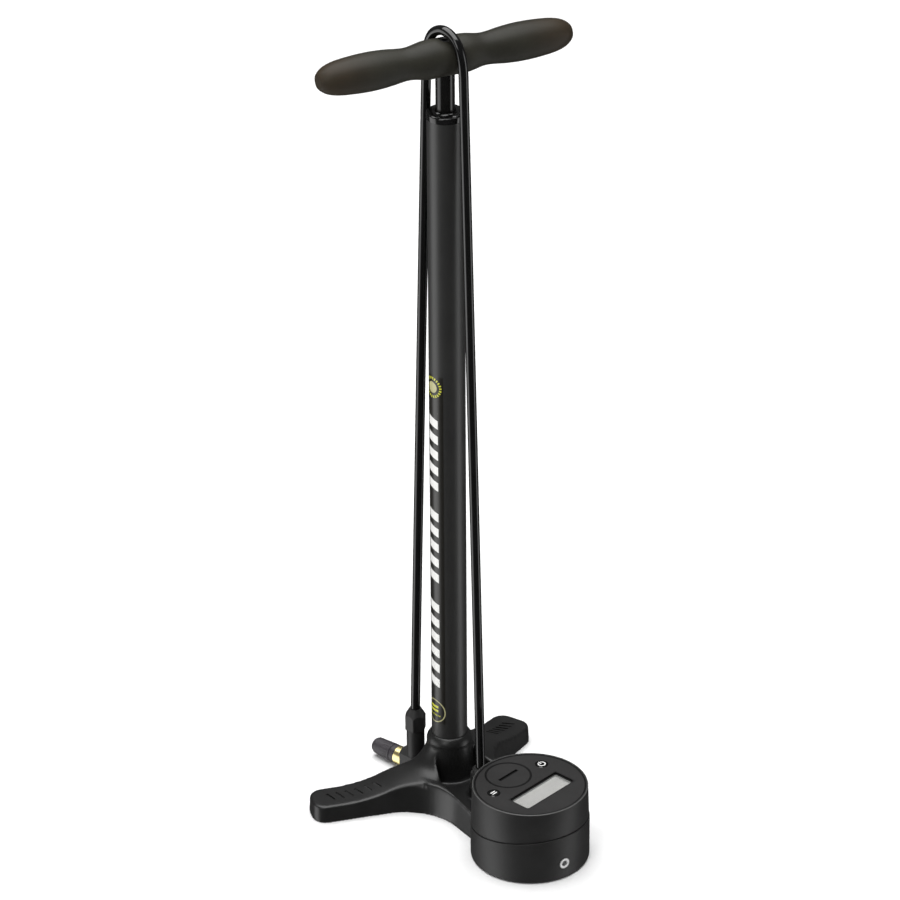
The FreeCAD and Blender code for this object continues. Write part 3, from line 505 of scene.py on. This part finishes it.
def clearWindow():
    material = bpy.data.materials.new("clearWindow")
    material.use_nodes = True
    tree = material.node_tree
    tree.nodes.clear()
    start = Wire(tree)
    place = start.make("ShaderNodeTexCoord", None, None, 3)
    smear = place.noise(60.0, 3.0)
    body = start.make("ShaderNodeBsdfPrincipled", None, {
        "Base Color": mixOf(start, (0.62, 0.63, 0.61), (0.72, 0.73, 0.71), smear), "Roughness": smear * 0.10 + 0.06, "Alpha": smear * 0.06 + 0.16, "IOR": 1.49,
    })
    start.make("ShaderNodeOutputMaterial", None, {"Surface": body})
    return material


materials["clearWindow"] = clearWindow()

nodeFinishes = {
    "castBlack": ["base_casting", "head_dock"],
    "barrelPrinted": ["barrel"],
    "glossBlack": ["barrel_cap"],
    "matteBlack": ["gauge_head", "head_boot", "head_body", "hose_nut", "battery_holder", "button_switches", "pressure_sensor", "board_posts", "piston_head", "foot_valve_body"],
    "dialGrey": ["face_plate"],
    "coverBlack": ["battery_cover"],
    "powerGloss": ["power_button"],
    "unitGloss": ["unit_button"],
    "screwPale": ["pod_screw"],
    "rodBlack": ["piston_rod"],
    "hoseBlack": ["hose", "air_tube"],
    "sealRubber": ["foot_pads", "barrel_foot_seal", "rod_wiper", "piston_seal", "bump_stop", "head_seal", "gauge_gasket", "battery_cover_seal"],
    "brass": ["head_brass_ring", "hose_fitting", "rod_bush", "piston_guide_ring"],
    "steel": ["foot_valve_ball", "foot_valve_spring", "piston_bolt", "rod_insert", "battery_contact", "battery_cell", "gauge_screws"],
    "blackSteel": ["handle_screw"],
    "boardGreen": ["circuit_board"],
    "lockGrey": ["head_collar"],
    "handleWood": ["handle"],
    "screenGrey": ["lcd_panel"],
    "clearWindow": ["lcd_window"],
}
for finish, names in nodeFinishes.items():
    for name in names:
        nodes[name].data.materials.clear()
        nodes[name].data.materials.append(materials[finish])
for tube in hoseTubes:
    tube.data.materials.append(materials["hoseBlack"])
print("finishes on", sum(len(names) for names in nodeFinishes.values()), "nodes")


# Pieces made here, each from a primitive at its place. Lengths in metres.
def activate(piece):
    bpy.ops.object.select_all(action="DESELECT")
    piece.select_set(True)
    bpy.context.view_layer.objects.active = piece


def applyModifier(piece, kind, **settings):
    activate(piece)
    modifier = piece.modifiers.new(kind.lower(), kind)
    for name, value in settings.items():
        setattr(modifier, name, value)
    bpy.ops.object.modifier_apply(modifier=modifier.name)


def easeEdges(piece, width, segments=3, angle=30.0):
    applyModifier(piece, "BEVEL", width=width, segments=segments, limit_method="ANGLE", angle_limit=math.radians(angle), harden_normals=False)


def smoothShade(piece, angle=35.0):
    activate(piece)
    bpy.ops.object.shade_smooth_by_angle(angle=math.radians(angle))


def dress(piece, body, finish, slot, *standsFor):
    piece.data.materials.clear()
    piece.data.materials.append(materials[finish])
    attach(piece, body)
    if standsFor:
        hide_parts(*standsFor)


def spinProfile(name, profile, steps=96):
    bpy.ops.object.select_all(action="DESELECT")
    bpy.ops.mesh.primitive_plane_add(size=0.001, location=(profile[0][0], 0, profile[0][1]))
    piece = bpy.context.object
    piece.name = name
    bpy.ops.object.transform_apply(location=True, rotation=True, scale=True)
    bpy.ops.object.mode_set(mode="EDIT")
    bpy.ops.mesh.select_mode(type="VERT")
    bpy.ops.mesh.select_all(action="SELECT")
    bpy.ops.mesh.merge(type="CENTER")
    for before, after in zip(profile, profile[1:]):
        shift = (after[0] - before[0], 0, after[1] - before[1])
        bpy.ops.mesh.extrude_vertices_move(TRANSFORM_OT_translate={"value": shift})
    bpy.ops.mesh.select_all(action="SELECT")
    bpy.ops.mesh.spin(steps=steps, angle=2 * math.pi, center=(0, 0, 0), axis=(0, 0, 1))
    bpy.ops.mesh.select_all(action="SELECT")
    bpy.ops.mesh.remove_doubles(threshold=0.000002)
    bpy.ops.mesh.normals_make_consistent(inside=False)
    bpy.ops.object.mode_set(mode="OBJECT")
    return piece


def settle(piece, place=(0, 0, 0), turn=(0, 0, 0)):
    activate(piece)
    piece.location = place
    piece.rotation_euler = [math.radians(angle) for angle in turn]
    bpy.ops.object.transform_apply(location=True, rotation=True, scale=True)


def trimAtPlane(piece, place, normal, keepBelow):
    activate(piece)
    bpy.ops.object.mode_set(mode="EDIT")
    bpy.ops.mesh.select_all(action="SELECT")
    bpy.ops.mesh.bisect(plane_co=place, plane_no=normal, clear_outer=keepBelow, clear_inner=not keepBelow)
    bpy.ops.mesh.bridge_edge_loops()
    bpy.ops.mesh.select_all(action="SELECT")
    bpy.ops.mesh.normals_make_consistent(inside=False)
    bpy.ops.object.mode_set(mode="OBJECT")


def cutAway(piece, cutter, solver="EXACT"):
    applyModifier(piece, "BOOLEAN", operation="DIFFERENCE", object=cutter, solver=solver)
    bpy.data.objects.remove(cutter)


def addPod(look):
    radius, inner = look["podRadius"], look["podRadius"] - look["podWall"]
    profile = [(0, 0), (radius - 0.0012, 0), (radius, 0.0012), (radius, 0.06), (inner, 0.06), (inner, 0.004), (0, 0.004)]
    pod = spinProfile("casting_pod", profile, look["steps"])
    settle(pod, (0, look["y"], 0))
    trimAtPlane(pod, (0, look["y"], look["partingZ"]), (0, look["slope"], 1), True)
    easeEdges(pod, 0.0004)
    bpy.ops.mesh.primitive_cylinder_add(vertices=48, radius=0.00495, depth=0.0036, location=(0, look["y"] - radius + 0.0018 - 0.0003, look["screwZ"]), rotation=(math.pi / 2, 0, 0))
    cutAway(pod, bpy.context.object)
    smoothShade(pod)
    dress(pod, "base", "matteBlack", "cast_black")
    return pod


def addGaugeHead(look):
    top, rim = look["headTop"], look["headTop"] - look["rim"]
    inner, foot = rim - look["headWall"], look["podRadius"] - 0.0001
    profile = [(foot, 0.024), (top, look["headTopZ"]), (rim, look["headTopZ"]), (rim, look["faceZ"]), (inner, look["faceZ"]), (inner, 0.024), (foot, 0.024)]
    head = spinProfile("gauge_housing", profile, look["steps"])
    settle(head, (0, look["y"], 0))
    trimAtPlane(head, (0, look["y"], look["partingZ"] + look["gasket"]), (0, look["slope"], 1), False)
    easeEdges(head, 0.0006)
    smoothShade(head)
    dress(head, "base", "rimBlack", "matte_black", "gauge_head")
    return head


# Collar round the barrel's foot: a soft cone over a thin lip.
collarProfile = [
    (0.01515, 0.046), (0.01515, 0.0576), (0.0155, 0.0580), (0.0172, 0.0563), (0.0186, 0.0541),
    (0.0193, 0.0520), (0.0194, 0.0506), (0.0191, 0.0498), (0.0186, 0.0490), (0.0184, 0.046), (0.01515, 0.046),
]


def addCollar():
    collar = spinProfile("casting_collar", collarProfile, 96)
    easeEdges(collar, 0.0003, 2)
    smoothShade(collar, 50.0)
    dress(collar, "base", "castBlack", "cast_black")


# Base casting: the CAD solid, softened along every edge as a casting is.
casting = {
    "voxel": 0.0011, "passes": 16, "keepAbove": (0.044, 0.047), "keepBelow": 0.0006, "podCut": 0.0496,
    # engraved bars on each leg: turn, first and last place along the leg, side offset
    "bars": [(161.2, 0.066, 0.106, 0.0087), (23.5, 0.066, 0.092, -0.001)],
    "barCount": 6, "barSize": (0.0020, 0.0110, 0.0030), "barDepth": 0.0011, "barSlant": 24.0,
}


def engravedBars(look):
    cutters = []
    for turn, near, far, offset in look["bars"]:
        along = Vector((math.cos(math.radians(turn)), math.sin(math.radians(turn)), 0))
        side = Vector((-along.y, along.x, 0))
        for index in range(look["barCount"]):
            reach = near + (far - near) * index / (look["barCount"] - 1)
            height = legHeight(reach) - look["barDepth"] + look["barSize"][2] / 2
            bpy.ops.mesh.primitive_cube_add(size=1, location=along * reach + side * offset + Vector((0, 0, height)))
            bar = bpy.context.object
            bar.scale = look["barSize"]
            bar.rotation_euler = (0, legPitch(reach), math.radians(turn + look["barSlant"]))
            bpy.ops.object.transform_apply(location=True, rotation=True, scale=True)
            cutters.append(bar)
    bpy.ops.object.select_all(action="DESELECT")
    for bar in cutters:
        bar.select_set(True)
    bpy.context.view_layer.objects.active = cutters[0]
    bpy.ops.object.join()
    return cutters[0]


def legHeight(reach):
    spots = [(0.053, 0.025), (0.066, 0.0202), (0.082, 0.0164), (0.1, 0.015), (0.2, 0.015)]
    for (near, high), (far, low) in zip(spots, spots[1:]):
        if reach <= far:
            return high + (low - high) * (reach - near) / (far - near)
    return spots[-1][1]


def legPitch(reach):
    return math.atan2(legHeight(reach - 0.004) - legHeight(reach + 0.004), 0.008)


def addCasting(look):
    mesh = nodes["base_casting"].data.copy()
    body = bpy.data.objects.new("casting_legs", mesh)
    bpy.context.collection.objects.link(body)
    activate(body)
    bpy.ops.object.mode_set(mode="EDIT")
    bpy.ops.mesh.select_all(action="SELECT")
    bpy.ops.mesh.remove_doubles(threshold=0.000001)
    bpy.ops.object.mode_set(mode="OBJECT")
    applyModifier(body, "REMESH", mode="VOXEL", voxel_size=look["voxel"], use_smooth_shade=True)
    group = body.vertex_groups.new(name="soft")
    low, high = look["keepAbove"]
    for vertex in body.data.vertices:
        z = vertex.co.z
        weight = max(0.0, min(1.0, (high - z) / (high - low)))
        if z < look["keepBelow"]:
            weight = 0.0
        group.add([vertex.index], weight, "REPLACE")
    applyModifier(body, "SMOOTH", factor=0.5, iterations=look["passes"], vertex_group="soft")
    bpy.ops.mesh.primitive_cylinder_add(vertices=192, radius=look["podCut"], depth=0.2, location=(0, gauge["y"], 0.05))
    cutAway(body, bpy.context.object)
    cutAway(body, engravedBars(look))
    body.vertex_groups.clear()
    smoothShade(body, 50.0)
    dress(body, "base", "castBlack", "cast_black", "base_casting")
    print("casting,", len(body.data.polygons), "faces")


# Cap on the barrel: a low glossy ring with the rod through it.
capProfile = [
    (0.0083, 0.6287), (0.0083, 0.6353), (0.0088, 0.6356), (0.0096, 0.6353), (0.0103, 0.6343), (0.0143, 0.6341),
    (0.0151, 0.6336), (0.0154, 0.6328), (0.0154, 0.6288), (0.0150, 0.6287), (0.0083, 0.6287),
]


def addCap():
    cap = spinProfile("barrel_cap_ring", capProfile, 96)
    smoothShade(cap, 40.0)
    dress(cap, "base", "glossBlack", "gloss_black", "barrel_cap", "rod_wiper")


addPod(gauge)
addGaugeHead(gauge)
addCap()
addCollar()
addCasting(casting)
print("housing and casting made")

# Valve spring: the real one shortens as the ball comes down on it; here the spring node only gets a mesh of its own.
valveSpring = {"foot": 0.006, "travel": 0.0015, "node": "foot_valve_spring", "joint": "foot_valve_ball_drop"}


def addSpring(look):
    springLow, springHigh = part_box(look["node"])
    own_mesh(nodes[look["node"]])


addSpring(valveSpring)


# Floor and lights. The strips stand round the part and draw the long highlights down its tubes.
studio = {
    "floorSize": 40.0,
    "floorShade": ((0.90, 0.90, 0.90), (0.93, 0.93, 0.93)),
    "paleFrom": (1.3, 5.0),  # the paper far off glows, so it stays pale to the horizon
    "paleShade": (0.85, 0.85, 0.85),
    "above": 0.11,  # sky over the horizon
    "below": 0.062,
    "facing": -124.0,  # the strips' turns count from here, in degrees
    # turn, half width, softness, strength
    "strips": [(-80.0, 12.0, 16.0, 2.4), (78.0, 7.0, 9.0, 2.2)],
    # place, aimed at, width, height, watts
    "lights": [
        ((0.0, 0.3, 3.2), (0, 0, 0), 3.6, 3.6, 190.0),
        ((-2.6, -1.4, 2.2), (0, 0, 0.35), 1.2, 2.0, 22.0),
    ],
}


def stripedSky(look):
    world = bpy.data.worlds.new("studio")
    world.use_nodes = True
    tree = world.node_tree
    tree.nodes.clear()
    start = Wire(tree)
    x, y, z = start.make("ShaderNodeTexCoord").apart()
    flat = start.reckon("SQRT", x * x + y * y).larger(0.0001)
    level = z.step(-0.02, 0.12) * (look["above"] - look["below"]) + look["below"]
    for turn, half, soft, strength in look["strips"]:
        angle = math.radians(look["facing"] + turn)
        toward = (x * math.cos(angle) + y * math.sin(angle)) / flat
        strip = toward.step(math.cos(math.radians(half + soft)), math.cos(math.radians(half)))
        level = level + strip * (0.35 - z).step(0, 0.3) * strength
    glow = start.make("ShaderNodeBackground", None, {"Color": (1.0, 1.0, 1.0, 1.0), "Strength": level})
    start.make("ShaderNodeOutputWorld", None, {"Surface": glow})
    return world


def paintPaper(start, parts):
    x, y, z = parts["place"].apart()
    far = start.reckon("SQRT", x * x + y * y).step(*studio["paleFrom"])
    parts["glow"] = mixOf(start, (0.0, 0.0, 0.0), studio["paleShade"], far)


def addStudio(look):
    bpy.ops.mesh.primitive_plane_add(size=look["floorSize"], location=(0, 0, -0.0002))
    floor = bpy.context.object
    floor.name = "floor"
    floor.visible_glossy = False  # the tubes show the strips, not the paper
    floor.visible_shadow = False
    shades = look["floorShade"]
    paper = {"dark": shades[0], "light": shades[1], "rough": (0.7, 0.8), "grain": 300.0, "bump": 0.02, "metal": 0.0}
    floor.data.materials.append(surface("floorPaper", paper, paintPaper))
    bpy.context.scene.world = stripedSky(look)
    for index, (place, aim, wide, tall, watts) in enumerate(look["lights"]):
        light = bpy.data.lights.new(f"softbox{index}", "AREA")
        light.shape = "RECTANGLE"
        light.size = wide
        light.size_y = tall
        light.energy = watts
        lamp = bpy.data.objects.new(light.name, light)
        bpy.context.collection.objects.link(lamp)
        lamp.location = place
        lamp.rotation_euler = (Vector(aim) - Vector(place)).to_track_quat("-Z", "Y").to_euler()
    bpy.context.scene.view_settings.view_transform = "Standard"


bpy.ops.object.select_all(action="DESELECT")
addStudio(studio)
print("studio lit")
